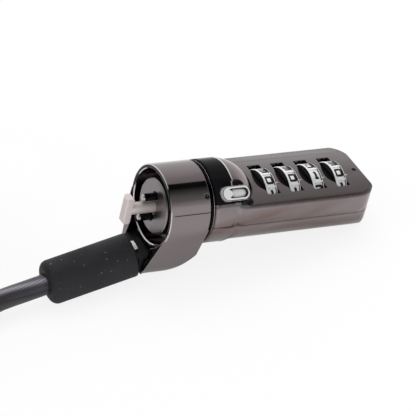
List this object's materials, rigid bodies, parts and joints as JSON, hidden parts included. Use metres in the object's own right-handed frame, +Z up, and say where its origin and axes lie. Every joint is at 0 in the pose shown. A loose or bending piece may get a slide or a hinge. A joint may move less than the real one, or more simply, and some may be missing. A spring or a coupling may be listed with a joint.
{
  "type": "combination cable lock",
  "caption": "Combination cable lock for laptop security slots: swivelling barrel with a T-shaped head, number dials, polished push button and a sleeved steel cable with an end loop.",
  "frame": {"origin": "on the surface that the lock lies on, below the middle of the lock's and the boot's bounding box, without the free cable", "axes": "+Z up; +X runs from the boot to the lock's tail, along the lock's length as it lies; +Y points away from the side that carries the button. The lock's own axis is tilted 12.5 degrees, nose up"},
  "size_m": [0.1503, 0.0619, 0.0265],
  "materials": {
    "gunmetal": "satin gunmetal plating",
    "black_nickel": "gloss black",
    "satin": "satin nickel",
    "chrome": "polished",
    "steel": "bare",
    "rubber": "matt",
    "sleeve": "smoky clear sleeve over twisted steel"
  },
  "bodies": {
    "cable": {"cable_fitting": "black_nickel", "cable_boot": "rubber", "cable": "sleeve", "cable_coil": "sleeve", "cable_tail": "sleeve", "loop_ferrule": "steel", "anchor_loop": "sleeve"},
    "barrel": {"barrel": "gunmetal", "trim_ring": "gunmetal", "grub_screw": "steel", "pivot_pin": "steel"},
    "housing": {"upper_housing": "gunmetal", "lower_housing": "gunmetal", "collar": "black_nickel", "nose_core": "gunmetal", "security_pins": "black_nickel", "detent_spring": "steel", "spindle_spring": "steel", "housing_screws": "steel", "button_spring": "steel"},
    "dial_1": {"dial_1": "satin", "code_sleeve_1": "steel"},
    "dial_2": {"dial_2": "satin", "code_sleeve_2": "steel"},
    "dial_3": {"dial_3": "satin", "code_sleeve_3": "steel"},
    "dial_4": {"dial_4": "satin", "code_sleeve_4": "steel"},
    "t_bar": {"t_bar": "satin", "t_bar_crank": "steel"},
    "button": {"button": "chrome"},
    "spindle": {"lock_spindle": "steel"}
  },
  "joints": [
    {"name": "cable_pivot", "type": "hinge", "parent": "cable", "child": "barrel", "pos_m": [-0.01419, 0, 0.00592], "axis": [0, 1, 0], "range_deg": [-25, 90]},
    {"name": "head_swivel", "type": "hinge", "parent": "barrel", "child": "housing", "pos_m": [-0.0051, 0, 0.01553], "axis": [0.9763, 0, -0.2164], "continuous": true},
    {"name": "dial_1_turn", "type": "hinge", "parent": "housing", "child": "dial_1", "pos_m": [0.01292, 0, 0.01153], "axis": [0.9763, 0, -0.2164], "continuous": true},
    {"name": "dial_2_turn", "type": "hinge", "parent": "housing", "child": "dial_2", "pos_m": [0.01858, 0, 0.01028], "axis": [0.9763, 0, -0.2164], "continuous": true},
    {"name": "dial_3_turn", "type": "hinge", "parent": "housing", "child": "dial_3", "pos_m": [0.02424, 0, 0.00902], "axis": [0.9763, 0, -0.2164], "continuous": true},
    {"name": "dial_4_turn", "type": "hinge", "parent": "housing", "child": "dial_4", "pos_m": [0.02991, 0, 0.00777], "axis": [0.9763, 0, -0.2164], "continuous": true},
    {"name": "t_bar_turn", "type": "hinge", "parent": "housing", "child": "t_bar", "pos_m": [-0.01291, 0, 0.01726], "axis": [0.9763, 0, -0.2164], "range_deg": [0, 90]},
    {"name": "button_press", "type": "slide", "parent": "housing", "child": "button", "axis": [-0.1476, 0.7314, -0.6658], "range_m": [0, 0.0012], "stiffness_N_per_m": 300},
    {"name": "spindle_slide", "type": "slide", "parent": "housing", "child": "spindle", "axis": [0.9763, 0, -0.2164], "range_m": [0, 0.0012], "stiffness_N_per_m": 100}
  ],
  "couplings": [
    {"joint": "t_bar_turn", "follows": "button_press", "rad_per_m": 1309},
    {"joint": "spindle_slide", "follows": "button_press", "ratio": 1}
  ]
}
